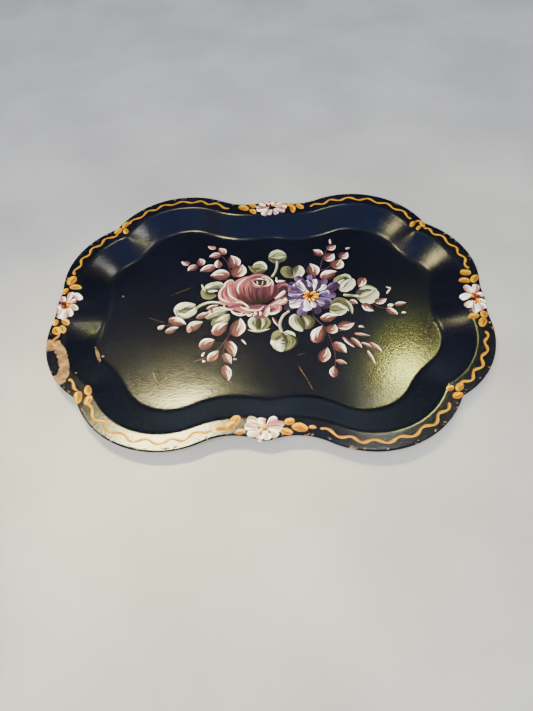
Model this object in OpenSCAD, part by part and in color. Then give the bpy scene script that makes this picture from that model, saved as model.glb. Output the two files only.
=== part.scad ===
// Scalloped serving tray, pressed from one sheet of steel, lacquered black and painted by hand.
// A flat floor carries the bouquet, a shallow wall slopes out from it to a level flange, and
// the edge of the flange is folded under. Every painted layer is a thin raised film of oil
// paint that lies on the lacquer.
//
// Millimetres. The origin is under the middle of the floor, +Z is up, +X runs along the tray
// and +Y points to its back edge, the edge that the rose opens towards.

/* [Tray] */
// Length over the lobes of the two short sides
tray_l = 400; // [396:1:410]
// Width over the lobes of the two long sides
tray_w = 303; // [300:1:310]
// Height of the flange's upper face above the table
rim_h = 13; // [10:0.5:18]
// Width of the level flange
flange_w = 16.5; // [15:0.5:18]
// Width of the sloping wall, seen from above
wall_w = 25.5; // [24:0.5:27]

/* [Sheet] */
// Thickness of the sheet
sheet_t = 0.8; // [0.6:0.1:1.2]
// Thickness of the folded edge
hem_t = 1.8; // [1.6:0.1:2.2]
// Width of the folded edge
hem_w = 5; // [4:0.5:6]
// How far the bend between flange and wall reaches along each of them
rim_bend = 2.4; // [1.5:0.1:3]
// How far the bend between wall and floor reaches along each of them
floor_bend = 3.2; // [2:0.1:4]

/* [Paint] */
// Thickness of one layer of paint
film_t = 0.25; // [0.15:0.05:0.4]
// Width of the gold scroll line
scroll_w = 2; // [1.5:0.1:2.6]
// Distance that the scroll line swings to each side of the middle of the flange
scroll_swing = 1.8; // [1:0.1:2.5]
// Length of one wave of the scroll line
scroll_wave = 21; // [16:1:28]
// Width of a flower stem
stem_w = 1.2; // [0.8:0.1:1.8]

/* [Hidden] */
$fn = 48;

half_l = tray_l / 2;
half_w = tray_w / 2;

// Three closed outlines shape the pan: the folded edge, the bend at the top of the wall and
// the bend at its foot. A quarter of each is four round lobes, [centre x, centre y, radius],
// from the middle of the long side to the middle of the short side, and the radii of the
// three hollows that join them. The middle hollow is the notch across the corner.
edge_lobes = [
    [0, half_w - 24.5, 15], [86, half_w - 80.5, 80.5], [half_l - 79, 34, 79], [half_l - 50, 0, 49.5]
];
edge_hollows = [57, 5, 60];
bend_lobes = [
    [0, half_w - flange_w - 48, 35], [86, half_w - flange_w - 67, 67],
    [half_l - flange_w - 65.5, 33, 65.5], [half_l - flange_w - 53, 0, 51.5]
];
bend_hollows = [100, 2, 65];
foot_inset = flange_w + wall_w;
foot_lobes = [
    [0, half_w - foot_inset - 40.5, 30], [84, half_w - foot_inset - 44.5, 44.5],
    [half_l - foot_inset - 38.5, 32, 38.5], [half_l - foot_inset - 48, 0, 44]
];
foot_hollows = [80, 77, 52];

// Points on each arc of a quarter, lobe and hollow in turn from the long side
arc_steps = [3, 4, 9, 2, 7, 3, 2];

// Points from angle a to angle b on an arc, without the last one
function arc(centre, radius, a, b, steps) = [
    for (i = [0:steps - 1])
        let (angle = a + (b - a) * i / steps)
            centre + radius * [cos(angle), sin(angle)]
];

function direction(from, to) = atan2(to.y - from.y, to.x - from.x);

// Centre of the hollow of radius r that touches lobes a and b on the outside
function hollow_centre(a, b, r) =
    let (
        span = [b.x - a.x, b.y - a.y],
        gap = norm(span),
        along = (gap * gap + pow(a[2] + r, 2) - pow(b[2] + r, 2)) / (2 * gap),
        out = sqrt(pow(a[2] + r, 2) - along * along),
        unit = span / gap
    )
    [a.x + along * unit.x - out * unit.y, a.y + along * unit.y + out * unit.x];

function shortest_turn(angle) = angle > 180 ? angle - 360 : angle < -180 ? angle + 360 : angle;

// Points of the hollow between lobes a and b
function hollow(a, b, r, steps) =
    let (
        centre = hollow_centre(a, b, r),
        start = direction(centre, a),
        turn = shortest_turn(direction(centre, b) - start)
    )
    arc(centre, r, start, start + turn, steps);

// Points of lobe i, between the hollows on either side of it
function lobe(lobes, hollows, i, steps) =
    let (
        this = lobes[i],
        centre = [this.x, this.y],
        last = len(lobes) - 1,
        start = i == 0 ? 90 : direction(this, hollow_centre(lobes[i - 1], this, hollows[i - 1])),
        end = i == last ? 0 : direction(this, hollow_centre(this, lobes[i + 1], hollows[i]))
    )
    arc(centre, this[2], start, end, steps);

// A quarter of an outline, from the long side's middle to the short side's middle
function quarter(lobes, hollows, detail) = [
    for (i = [0:len(lobes) - 1]) each [
        each lobe(lobes, hollows, i, arc_steps[2 * i] * detail),
        if (i < len(hollows))
            each hollow(lobes[i], lobes[i + 1], hollows[i], arc_steps[2 * i + 1] * detail)
    ],
    [lobes[3].x + lobes[3][2], 0]
];

// The whole outline, clockwise seen from above, from a quarter and its three mirror images
function outline(lobes, hollows, detail = 1) =
    let (q = quarter(lobes, hollows, detail), n = len(q) - 1)
    [
        for (i = [0:n - 1]) q[i],
        for (i = [0:n - 1]) [q[n - i].x, -q[n - i].y],
        for (i = [0:n - 1]) -q[i],
        for (i = [0:n - 1]) [-q[n - i].x, q[n - i].y]
    ];

edge_line = outline(edge_lobes, edge_hollows);
bend_line = outline(bend_lobes, bend_hollows);
foot_line = outline(foot_lobes, foot_hollows);

// The ring of points that lies a distance in from the folded edge, at height z
function ring(inset, z) = [
    for (i = [0:len(edge_line) - 1])
        let (
            across = inset < flange_w
                ? edge_line[i] + (bend_line[i] - edge_line[i]) * inset / flange_w
                : bend_line[i] + (foot_line[i] - bend_line[i]) * (inset - flange_w) / wall_w
        )
        [across.x, across.y, z]
];

wall_angle = atan2(rim_h - sheet_t, wall_w);
wall_slope = [cos(wall_angle), -sin(wall_angle)];
under_shift = sheet_t * tan(wall_angle / 2);
bend_steps = 4;
hem_steps = 4;

// Points [inset, z] of a rounded corner between the directions before and after it
function rounded(corner, before, after, reach) = [
    for (i = [0:bend_steps])
        let (t = i / bend_steps)
            corner + reach * (t * t * after - (1 - t) * (1 - t) * before)
];

// Section of the pan as [inset, z], from the floor's upper face over the edge to its underside
over = concat(
    rounded([flange_w, rim_h], [1, 0], wall_slope, rim_bend),
    rounded([flange_w + wall_w, sheet_t], wall_slope, [1, 0], floor_bend)
);
edge_fold = [
    for (i = [0:hem_steps])
        let (angle = 90 + 180 * i / hem_steps)
            [hem_t / 2, rim_h - hem_t / 2] + hem_t / 2 * [cos(angle), sin(angle)]
];
fold_return = [[hem_w, rim_h - hem_t], [hem_w + 0.4, rim_h - sheet_t]];
under = concat(
    rounded([flange_w - under_shift, rim_h - sheet_t], [1, 0], wall_slope, rim_bend),
    rounded([flange_w + wall_w - under_shift, 0], wall_slope, [1, 0], floor_bend)
);
section = concat([for (i = [len(over) - 1:-1:0]) over[i]], edge_fold, fold_return, under);

module pan() {
    rings = [for (s = section) ring(s[0], s[1])];
    n = len(edge_line);
    last = len(rings) - 1;
    faces = [
        [for (i = [0:n - 1]) i],
        for (k = [0:last - 1], i = [0:n - 1])
            [k * n + i, (k + 1) * n + i, (k + 1) * n + (i + 1) % n, k * n + (i + 1) % n],
        [for (i = [n - 1:-1:0]) last * n + i]
    ];
    color("#10131c")
        polyhedron([for (r = rings) each r], faces);
}

// A film of paint on the floor, in layer 0, 1 or 2
module floor_film(layer = 0)
    translate([0, 0, sheet_t + layer * film_t])
        linear_extrude(film_t)
            children();

// A film of paint on the flange, in layer 0, 1 or 2
module flange_film(layer = 0)
    translate([0, 0, rim_h + layer * film_t])
        linear_extrude(film_t)
            children();

// A petal with a point at each end, along X
module petal(l, w) {
    r = (l * l + w * w) / (4 * w);
    intersection() {
        translate([0, r - w / 2])
            circle(r);
        translate([0, w / 2 - r])
            circle(r);
    }
}

// Petals whose tips lie on an oval of the given half sizes
module petal_ring(count, half_x, half_y, inner, petal_w, turn = 0)
    for (i = [0:count - 1]) {
        angle = turn + 360 * i / count;
        tip = [half_x * cos(angle), half_y * sin(angle)];
        l = norm(tip) * (1 - inner);
        translate(tip * (1 + inner) / 2)
            rotate(direction([0, 0], tip))
                petal(l, petal_w);
    }

// A stroke of width w along a curve that starts at a, bends towards b and ends at c
module stroke(a, b, c, w = stem_w, steps = 8) {
    function at(t) = (1 - t) * (1 - t) * a + 2 * t * (1 - t) * b + t * t * c;
    function across(t) =
        let (run = (1 - t) * (b - a) + t * (c - b))
            [-run.y, run.x] / norm(run) * w / 2;
    polygon([
        for (i = [0:steps]) at(i / steps) + across(i / steps),
        for (i = [steps:-1:0]) at(i / steps) - across(i / steps)
    ]);
}

// Buds of a spray, each [x, y, length, width, angle]
module buds(list)
    color("#c98a7e")
        floor_film()
            for (b = list)
                translate([b[0], b[1]])
                    rotate(b[4])
                        petal(b[2], b[3]);

rose = [-12, 22];
aster = [41, 16];

module rose_bowl()
    color("#a8555b")
        floor_film(layer = 1)
            translate(rose + [-1, 2])
                circle(19);

module rose_petals()
    color("#e3bdb4")
        floor_film()
            translate(rose)
                union() {
                    circle(17);
                    for (angle = [155:25:380])
                        translate([25 * cos(angle), 7 + 27 * sin(angle) / (angle < 355 ? 1 : 1.4)])
                            circle(8);
                }

module aster_petals()
    color("#7f6aa0")
        floor_film()
            translate(aster)
                petal_ring(14, 24, 24, 0.3, 9, 8);

module aster_inner_petals()
    color("#e9e4f2")
        floor_film(layer = 1)
            translate(aster)
                petal_ring(11, 19, 19, 0.3, 8);

module aster_centre()
    color("#e39a1f")
        floor_film(layer = 1)
            translate(aster)
                circle(5.5);

// Round leaves as [x, y, diameter, angle of the tip]
leaves = [
    [-56, 26, 20, 140], [-80, 0, 21, 20], [-48, -9, 19, 60], [-9, -17, 18, 120],
    [-11, 54, 16, 110], [9, 70, 17, 260], [24, 48, 18, 60], [75, 32, 19, 110],
    [95, 17, 20, 200], [69, 3, 19, 300], [31, -16, 19, 330], [14, -37, 20, 110]
];

module cream_leaves()
    color("#d5d3b4")
        floor_film()
            for (leaf = leaves)
                translate([leaf[0], leaf[1]])
                    rotate(leaf[3])
                        union() {
                            circle(d = leaf[2]);
                            translate([leaf[2] / 2 - 3, 0])
                                petal(9, 6);
                        }

module leaf_stems()
    color("#b9b896")
        floor_film() {
            stroke([6, 61], [10, 50], [3, 43], 2);
            stroke([-69, 4], [-58, 11], [-43, 8], 2);
            stroke([84, 15], [78, 15], [73, 16], 2.4);
            stroke([12, -26], [10, -12], [19, -4], 2);
        }

module bud_stems()
    color("#9a7a68")
        floor_film() {
            stroke([-48, 70], [-41, 60], [-40, 53]);
            stroke([57, 75], [53, 62], [51, 50]);
            stroke([62, 56], [57, 51], [52, 50]);
            stroke([101, 3], [106, 1], [111, -2]);
            stroke([42, -9], [49, -16], [53, -20]);
            stroke([54, -32], [60, -44], [59, -66]);
            stroke([64, -27], [67, -27], [69, -26]);
            stroke([-36, -31], [-39, -38], [-39, -51]);
            stroke([-40, -36], [-48, -50], [-66, -59]);
            stroke([-110, -9], [-105, -13], [-98, -14]);
        }

module buds_back_left()
    buds([
        [-87, 62, 8, 6, 120], [-78, 56, 9, 6, 60], [-70, 64, 10, 8, 110],
        [-62, 54, 14, 8, 35], [-52, 60, 10, 7, 100], [-49, 78, 11, 8, 110],
        [-56, 72, 11, 7, 15], [-61, 84, 6, 4, 140], [-35, 63, 17, 12, 120],
        [-30, 51, 16, 12, 60], [-49, 45, 18, 12, 170]
    ]);

module buds_back_right()
    buds([
        [63, 89, 6, 3, 80], [64, 81, 11, 8, 15], [51, 73, 11, 7, 150], [62, 67, 12, 10, 60],
        [76, 69, 11, 9, 30], [80, 79, 4, 3, 0], [69, 57, 14, 11, 50], [44, 51, 16, 11, 100],
        [60, 42, 16, 11, 30]
    ]);

module buds_right()
    buds([
        [91, 34, 12, 8, 60], [81, 8, 7, 5, 20], [94, 1, 12, 8, -40], [108, 9, 12, 7, 30],
        [116, 3, 6, 5, 0], [125, 5, 10, 5, 10], [116, -4, 10, 7, -40], [127, -6, 4, 3, 0]
    ]);

module buds_front_right()
    buds([
        [56, -11, 16, 8, 20], [47, -31, 20, 12, 70], [59, -25, 11, 9, 30], [72, -21, 14, 8, 15],
        [86, -23, 5, 3, 0], [85, -31, 13, 2.5, -13], [73, -39, 14, 3, -50], [81, -41, 13, 4, -52],
        [90, -44, 11, 2.5, -28], [98, -46, 13, 4, -48], [92, -57, 14, 2, -68],
        [65, -46, 14, 9, -50], [51, -54, 15, 10, 75], [66, -61, 10, 5, -30], [59, -72, 10, 6, 85]
    ]);

module buds_front_left()
    buds([
        [-86, -14, 18, 9, -20], [-90, -23, 13, 7, 20], [-69, -20, 15, 11, 50],
        [-100, -20, 7, 5, 30], [-64, -7, 13, 6, 35], [-44, -24, 17, 9, 35],
        [-28, -20, 20, 13, 80], [-55, -40, 15, 9, 25], [-33, -45, 18, 9, -70],
        [-49, -53, 13, 8, 35], [-36, -58, 13, 7, -60], [-36, -72, 15, 8, -80],
        [7, -15, 12, 3, -65]
    ]);

// A flower on the flange, its longer axis along X
module rim_daisy(place, turn)
    translate([place.x, place.y, 0])
        rotate(turn) {
            color("#efd9cf")
                flange_film()
                    petal_ring(9, 14, 8.4, 0.2, 6.5);
            color("#d79a25")
                flange_film(layer = 1)
                    circle(3);
        }

daisy_y = half_w - 19.5;
daisy_x = half_l - 9.5;

module rim_daisy_back() rim_daisy([2, daisy_y], 0);
module rim_daisy_right() rim_daisy([daisy_x, 1], 90);
module rim_daisy_front() rim_daisy([0, -daisy_y], 180);
module rim_daisy_left() rim_daisy([-daisy_x, -1], 270);

// Three gold leaves, the middle one pointing along X
module leaf_trio() {
    translate([10, 0])
        petal(10, 5.5);
    for (side = [-1, 1])
        translate([1, side * 4.2])
            rotate(side * 30)
                petal(9, 5);
}

module gold_leaves()
    color("#e0a644")
        flange_film()
            for (x = [-1, 1], y = [-1, 1]) {
                translate([x * 21, y * (daisy_y - 0.8)])
                    rotate(x > 0 ? 0 : 180)
                        leaf_trio();
                translate([x * (daisy_x - 0.5), y * 21])
                    rotate(y > 0 ? 90 : 270)
                        scale(0.85)
                            leaf_trio();
                translate([x * (half_l - 47), y * (half_w - 51)])
                    rotate(y > 0 ? (x > 0 ? 225 : -45) : (x > 0 ? 135 : 45))
                        scale(0.8)
                            leaf_trio();
            }

// Fine points along the middle of the flange
middle_line =
    let (
        edge = outline(edge_lobes, edge_hollows, 5),
        bend = outline(bend_lobes, bend_hollows, 5)
    )
    (edge + bend) / 2;

function polar(p) = atan2(abs(p.y), abs(p.x));

// Distance from the first point of a line to each of its points
function lengths(line) = [
    for (i = 1, s = 0; i <= len(line); s = s + (i < len(line) ? norm(line[i] - line[i - 1]) : 0), i = i + 1)
        s
];

// A wavy line of paint along part of the middle of the flange
module wave(line) {
    reach = lengths(line);
    n = len(line) - 1;
    function across(i) =
        let (run = line[min(i + 1, n)] - line[max(i - 1, 0)])
            [-run.y, run.x] / norm(run);
    function side(i, offset) =
        line[i] + across(i) * (scroll_swing * sin(360 * reach[i] / scroll_wave) + offset);
    polygon([
        for (i = [0:n]) side(i, scroll_w / 2),
        for (i = [n:-1:0]) side(i, -scroll_w / 2)
    ]);
}

// Angles, from the long axis, at which each run of the scroll line starts and ends
scroll_runs = [[11, 30.5], [36.5, 73]];

module scroll_line() {
    quarter_line = [for (p = middle_line) if (p.x >= 0 && p.y >= 0) p];
    color("#dfa243")
        flange_film()
            for (x = [0, 1], y = [0, 1], run = scroll_runs)
                mirror([x, 0])
                    mirror([0, y])
                        wave([
                            for (p = quarter_line)
                                if (polar(p) > run[0] && polar(p) < run[1]) p
                        ]);
}

pan();
rose_bowl();
rose_petals();
aster_petals();
aster_inner_petals();
aster_centre();
cream_leaves();
leaf_stems();
bud_stems();
buds_back_left();
buds_back_right();
buds_right();
buds_front_right();
buds_front_left();
rim_daisy_back();
rim_daisy_right();
rim_daisy_front();
rim_daisy_left();
gold_leaves();
scroll_line();
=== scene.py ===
"""A scalloped black-lacquer tray with a hand-painted bouquet and a gold scroll rim.

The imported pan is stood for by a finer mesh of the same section, and each painted node by
brush strokes: closed films of paint with bristle ridges and their colour in the mesh.
Plan sizes below are millimetres in the row frame; everything in Blender is in metres.
"""

import math

import bpy
import numpy as np
from mathutils import Matrix, Vector
from mathutils.bvhtree import BVHTree


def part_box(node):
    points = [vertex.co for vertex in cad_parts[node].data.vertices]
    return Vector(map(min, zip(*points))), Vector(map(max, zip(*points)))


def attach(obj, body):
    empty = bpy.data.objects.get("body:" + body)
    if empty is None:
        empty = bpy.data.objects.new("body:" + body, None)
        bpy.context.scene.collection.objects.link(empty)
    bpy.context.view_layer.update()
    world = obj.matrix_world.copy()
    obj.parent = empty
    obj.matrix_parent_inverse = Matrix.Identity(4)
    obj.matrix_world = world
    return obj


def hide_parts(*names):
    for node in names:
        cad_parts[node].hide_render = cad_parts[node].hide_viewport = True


MM = 0.001
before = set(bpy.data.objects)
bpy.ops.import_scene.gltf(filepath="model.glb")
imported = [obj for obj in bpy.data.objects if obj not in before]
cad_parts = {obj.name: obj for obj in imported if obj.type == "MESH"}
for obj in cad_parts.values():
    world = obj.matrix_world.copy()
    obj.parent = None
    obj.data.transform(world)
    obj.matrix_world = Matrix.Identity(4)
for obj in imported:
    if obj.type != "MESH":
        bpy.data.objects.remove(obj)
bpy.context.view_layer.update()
rng = np.random.default_rng(7)

# ---- camera

IMAGE_W = 533
FOCAL_PX = 534
SENSOR_MM = 36
CAMERA_AT = Vector((18.7, -324.4, 393.7)) * MM
CAMERA_PITCH = math.radians(55.3)
CAMERA_ROLL = math.radians(-4.0)
CAMERA_YAW = math.radians(-4.15)


def add_camera():
    ahead = Vector(
        (
            math.sin(CAMERA_YAW) * math.cos(CAMERA_PITCH),
            math.cos(CAMERA_YAW) * math.cos(CAMERA_PITCH),
            -math.sin(CAMERA_PITCH),
        )
    )
    level = Vector((math.cos(CAMERA_YAW), -math.sin(CAMERA_YAW), 0))
    upright = level.cross(ahead)
    right = math.cos(CAMERA_ROLL) * level + math.sin(CAMERA_ROLL) * upright
    up = right.cross(ahead)
    data = bpy.data.cameras.new("camera")
    data.sensor_fit = "HORIZONTAL"
    data.sensor_width = SENSOR_MM
    data.lens = SENSOR_MM * FOCAL_PX / IMAGE_W
    camera = bpy.data.objects.new("camera", data)
    aim = Matrix((right, up, -ahead)).transposed().to_4x4()
    camera.matrix_world = Matrix.Translation(CAMERA_AT) @ aim
    bpy.context.scene.collection.objects.link(camera)
    bpy.context.scene.camera = camera


add_camera()

# ---- plan of the pan

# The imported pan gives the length, the width and the height; the rest are sizes of its section
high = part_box("pan")[1]
HALF_L = round(high.x / MM)
HALF_W = round(2 * high.y / MM) / 2
RIM_H = high.z / MM
SHEET_T = 0.8
HEM_T = 1.8
HEM_W = 5.0
FLANGE_W = 16.5
WALL_W = 25.5
RIM_BEND = 2.4
FLOOR_BEND = 3.2
FOOT = FLANGE_W + WALL_W

# Round lobes (centre x, centre y, radius) from the long side's middle to the short side's,
# and the radii of the hollows between them, for the edge, the bend and the foot of the wall.
EDGE = (
    [(0, HALF_W - 24.5, 15), (86, HALF_W - 80.5, 80.5), (HALF_L - 79, 34, 79), (HALF_L - 50, 0, 49.5)],
    [57, 5, 60],
)
BEND = (
    [
        (0, HALF_W - FLANGE_W - 48, 35),
        (86, HALF_W - FLANGE_W - 67, 67),
        (HALF_L - FLANGE_W - 65.5, 33, 65.5),
        (HALF_L - FLANGE_W - 53, 0, 51.5),
    ],
    [100, 2, 65],
)
WALL_FOOT = (
    [
        (0, HALF_W - FOOT - 40.5, 30),
        (84, HALF_W - FOOT - 44.5, 44.5),
        (HALF_L - FOOT - 38.5, 32, 38.5),
        (HALF_L - FOOT - 48, 0, 44),
    ],
    [80, 77, 52],
)
# Points on each arc of a quarter of an outline: lobe, hollow, lobe and so on
ARC_STEPS = [9, 12, 36, 6, 28, 10, 8]


def hollow_centre(a, b, r):
    """Centre of the arc of radius r that touches lobes a and b from outside."""
    span = np.subtract(b[:2], a[:2])
    gap = np.hypot(*span)
    reach = a[2] + r
    along = (gap**2 + reach**2 - (b[2] + r) ** 2) / (2 * gap)
    out = math.sqrt(reach**2 - along**2)
    unit = span / gap
    return np.array([a[0] + along * unit[0] - out * unit[1], a[1] + along * unit[1] + out * unit[0]])


def heading(a, b):
    return math.atan2(b[1] - a[1], b[0] - a[0])


def arc(centre, radius, start, end, steps):
    angle = start + (end - start) * np.arange(steps) / steps
    return np.stack([centre[0] + radius * np.cos(angle), centre[1] + radius * np.sin(angle)], -1)


def outline(lobes, hollows):
    """Closed outline, clockwise from the middle of the back side."""
    centres = [hollow_centre(lobes[i], lobes[i + 1], r) for i, r in enumerate(hollows)]
    quarter = []
    for i, lobe in enumerate(lobes):
        start = heading(lobe, centres[i - 1]) if i else math.pi / 2
        end = heading(lobe, centres[i]) if i < len(hollows) else 0.0
        quarter.append(arc(lobe, lobe[2], start, end, ARC_STEPS[2 * i]))
        if i < len(hollows):
            start = heading(centres[i], lobe)
            turn = heading(centres[i], lobes[i + 1]) - start
            turn = (turn + math.pi) % (2 * math.pi) - math.pi
            quarter.append(arc(centres[i], hollows[i], start, start + turn, ARC_STEPS[2 * i + 1]))
    quarter.append([[lobes[-1][0] + lobes[-1][2], 0]])
    q = np.concatenate(quarter)
    back = q[::-1]
    return np.concatenate([q[:-1], (back * [1, -1])[:-1], -q[:-1], (back * [-1, 1])[:-1]])


edge_line = outline(*EDGE)
bend_line = outline(*BEND)
foot_line = outline(*WALL_FOOT)
STATIONS = len(edge_line)


def inset_line(inset):
    """Points that lie a distance in from the edge: over the flange, the wall, then the floor."""
    if inset < FLANGE_W:
        return edge_line + (bend_line - edge_line) * inset / FLANGE_W
    return bend_line + (foot_line - bend_line) * (inset - FLANGE_W) / WALL_W


# ---- mesh helpers


def make_object(name, points_mm, faces, material, smooth=True):
    mesh = bpy.data.meshes.new(name)
    mesh.from_pydata(np.asarray(points_mm, float) * MM, [], faces)
    mesh.update()
    mesh.polygons.foreach_set("use_smooth", [smooth] * len(mesh.polygons))
    mesh.materials.append(material)
    made = bpy.data.objects.new(name, mesh)
    bpy.context.scene.collection.objects.link(made)
    return made


NOISE_WAVES = 12
NOISE_PEAK = 1.6


def soft_noise(points, size, seed):
    """Smooth noise from about -1 to 1 with features about size mm across: waves at random angles."""
    local = np.random.default_rng(seed)
    total = np.zeros(len(points))
    for _ in range(NOISE_WAVES):
        angle = local.uniform(0, 2 * math.pi)
        pace = 2 * math.pi / (size * local.uniform(0.8, 2.2))
        phase = local.uniform(0, 2 * math.pi)
        along = points[:, 0] * math.cos(angle) + points[:, 1] * math.sin(angle)
        total += np.sin(along * pace + phase)
    return total / math.sqrt(NOISE_WAVES / 2) / NOISE_PEAK


# ---- materials


def srgb(code):
    """Linear colour from a six-figure sRGB code."""
    parts = [int(code[i : i + 2], 16) / 255 for i in (0, 2, 4)]
    return tuple(c / 12.92 if c <= 0.04045 else ((c + 0.055) / 1.055) ** 2.4 for c in parts)


# Metres over which a mark seen in plan reaches up and down
ANY_HEIGHT = 1000


class Nodes:
    """Short calls that add nodes to a material."""

    def __init__(self, name):
        self.material = bpy.data.materials.new(name)
        self.material.use_nodes = True
        self.tree = self.material.node_tree
        self.shader = self.tree.nodes["Principled BSDF"]
        self.position = self.add("ShaderNodeTexCoord").outputs["Object"]

    def add(self, kind, **settings):
        node = self.tree.nodes.new(kind)
        for key, value in settings.items():
            setattr(node, key, value)
        return node

    def put(self, socket, value):
        if isinstance(value, bpy.types.NodeSocket):
            self.tree.links.new(value, socket)
        elif isinstance(value, tuple) and len(value) == 3 and socket.type == "RGBA":
            socket.default_value = (*value, 1)
        else:
            socket.default_value = value

    def math(self, kind, a, b):
        node = self.add("ShaderNodeMath", operation=kind)
        for socket, value in zip(node.inputs, (a, b)):
            self.put(socket, value)
        return node.outputs[0]

    def noise(self, size_mm, detail):
        """Noise from 0 to 1 whose features are about size_mm across."""
        node = self.add("ShaderNodeTexNoise")
        self.put(node.inputs["Vector"], self.position)
        node.inputs["Scale"].default_value = 1 / (size_mm * MM)
        node.inputs["Detail"].default_value = detail
        return node.outputs["Fac"]

    def ramp(self, value, low_in, high_in, low_out=0.0, high_out=1.0):
        """A smooth step from one value to another."""
        node = self.add("ShaderNodeMapRange", interpolation_type="SMOOTHSTEP")
        keys = ("Value", "From Min", "From Max", "To Min", "To Max")
        for key, number in zip(keys, (value, low_in, high_in, low_out, high_out)):
            self.put(node.inputs[key], number)
        return node.outputs[0]

    def mix(self, factor, a, b):
        """A colour between a and b, which are the node's inputs 6 and 7."""
        node = self.add("ShaderNodeMix", data_type="RGBA")
        self.put(node.inputs[0], factor)
        self.put(node.inputs[6], a)
        self.put(node.inputs[7], b)
        return node.outputs[2]

    def attribute(self, name):
        return self.add("ShaderNodeAttribute", attribute_name=name)

    def bump(self, height, strength, distance_mm):
        node = self.add("ShaderNodeBump")
        self.put(node.inputs["Height"], height)
        node.inputs["Strength"].default_value = strength
        node.inputs["Distance"].default_value = distance_mm * MM
        return node.outputs[0]

    def mark(self, x, y, length, width, angle):
        """1 inside a ragged ellipse and 0 outside it, seen in plan and at any height."""
        place = self.add("ShaderNodeMapping", vector_type="TEXTURE")
        self.put(place.inputs["Vector"], self.position)
        place.inputs["Location"].default_value = (x * MM, y * MM, 0)
        place.inputs["Rotation"].default_value = (0, 0, math.radians(angle))
        place.inputs["Scale"].default_value = (length / 2 * MM, width / 2 * MM, ANY_HEIGHT)
        reach = self.add("ShaderNodeVectorMath", operation="LENGTH")
        self.put(reach.inputs[0], place.outputs[0])
        torn = self.math("MULTIPLY", self.noise(2.2, detail=3), 2.0)
        return self.ramp(self.math("ADD", reach.outputs["Value"], torn), 2.0, 1.8)

    def set(self, **values):
        """Sets the shader's own sockets, with _ for a space, and gives back the material."""
        for key, value in values.items():
            self.put(self.shader.inputs[key.replace("_", " ")], value)
        return self.material


# Marks where the lacquer is scraped to the primer: x, y, length, width, angle
SCRAPES = [
    (31, -71.5, 18, 0.5, -62),
    (37, -84, 11, 0.4, -66),
    (-85, 25, 22, 0.3, 27),
    (-99.5, -74, 9, 0.4, -70),
    (-143, 19, 2.6, 1.8, 0),
    (-154.5, -50.5, 18, 3.2, -66),
    (-149.5, -52, 2.6, 2, 0),
    (-165, -77, 2, 1.4, 0),
    (136.5, 133, 11, 3, -28),
    (30, -52, 9, 0.35, 15),
]
PIT = (110, -73, 3.2, 2.6, 30)

# Roughness of the lacquer on the flat parts and on the wall, how far its grain varies that,
# and what bare primer adds
FLAT_GLOSS = 0.165
WALL_GLOSS = 0.17
GRAIN_GLOSS = 0.12
BARE_GLOSS = 0.4
# Depth of the grain, and how many times deeper the primer lies
GRAIN_DEPTH = 0.07
BARE_DEPTH = 2.0
# How far the edge of a worn spot strays, in mm
RAGGED = 4.0


def lacquer_material():
    n = Nodes("black_lacquer")
    grain = n.noise(1.7, detail=3)
    ink = n.mix(n.ramp(n.noise(60, detail=3), 0.35, 0.7), srgb("06070f"), srgb("0a0b16"))
    # Faint grey specks over the lacquer: partly dust, partly painted glints where its grain catches the
    # light
    dust_and_glints = n.ramp(n.noise(0.9, detail=1), 0.70, 0.78, 0.0, 0.10)
    ink = n.mix(dust_and_glints, ink, srgb("8d8f96"))
    worn = n.attribute("worn").outputs["Fac"]
    stray = n.math("MULTIPLY", n.math("SUBTRACT", n.noise(2.5, detail=4), 0.5), RAGGED)
    bare = n.ramp(n.math("ADD", worn, stray), -0.35, 0.35)
    edge = n.attribute("edge").outputs["Fac"]
    chipped = n.math("MULTIPLY", edge, n.ramp(n.noise(3.5, detail=3), 0.60, 0.64))
    bare = n.math("MAXIMUM", bare, chipped)
    above = n.attribute("above").outputs["Fac"]
    for mark in SCRAPES:
        bare = n.math("MAXIMUM", bare, n.math("MULTIPLY", above, n.mark(*mark)))
    tan = n.mix(n.ramp(n.noise(5, detail=4), 0.35, 0.65), srgb("5c442c"), srgb("8c6e48"))
    colour = n.mix(bare, ink, tan)
    colour = n.mix(n.mark(*PIT), colour, srgb("020203"))
    gloss = n.ramp(n.attribute("wall").outputs["Fac"], 0.0, 1.0, FLAT_GLOSS, WALL_GLOSS)
    rough = n.math("ADD", gloss, n.math("MULTIPLY", n.math("SUBTRACT", grain, 0.5), GRAIN_GLOSS))
    rough = n.math("ADD", rough, n.math("MULTIPLY", bare, BARE_GLOSS))
    height = n.math("SUBTRACT", grain, n.math("MULTIPLY", bare, BARE_DEPTH))
    normal = n.bump(height, 1.0, GRAIN_DEPTH)
    n.put(n.shader.inputs["Coat Normal"], normal)
    return n.set(
        Base_Color=colour,
        Roughness=rough,
        Normal=normal,
        IOR=1.5,
        Specular_IOR_Level=0.14,
        Coat_Weight=0.2,
        Coat_Roughness=0.1,
    )


# Roughness of each kind of paint
PAINT_GLOSS = {
    "rose_paint": 0.46,
    "violet_paint": 0.48,
    "white_paint": 0.50,
    "yellow_paint": 0.44,
    "cream_paint": 0.48,
    "stem_paint": 0.52,
    "pink_paint": 0.46,
    "gold_paint": 0.42,
}


def paint_material(name, gloss):
    """Paint whose colour comes from its mesh, a little uneven in tone, gloss and height."""
    n = Nodes(name)
    pigment = n.attribute("paint").outputs["Color"]
    streak = n.ramp(n.noise(0.7, detail=3), 0.25, 0.75, 0.85, 1.12)
    scale = n.add("ShaderNodeVectorMath", operation="SCALE")
    n.put(scale.inputs[0], pigment)
    n.put(scale.inputs["Scale"], streak)
    rough = n.ramp(n.noise(1.5, detail=2), 0.3, 0.7, gloss - 0.06, gloss + 0.08)
    normal = n.bump(n.noise(0.35, detail=2), 0.3, 0.04)
    return n.set(
        Base_Color=scale.outputs[0],
        Roughness=rough,
        Normal=normal,
        IOR=1.5,
        Specular_IOR_Level=0.12,
    )


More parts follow.
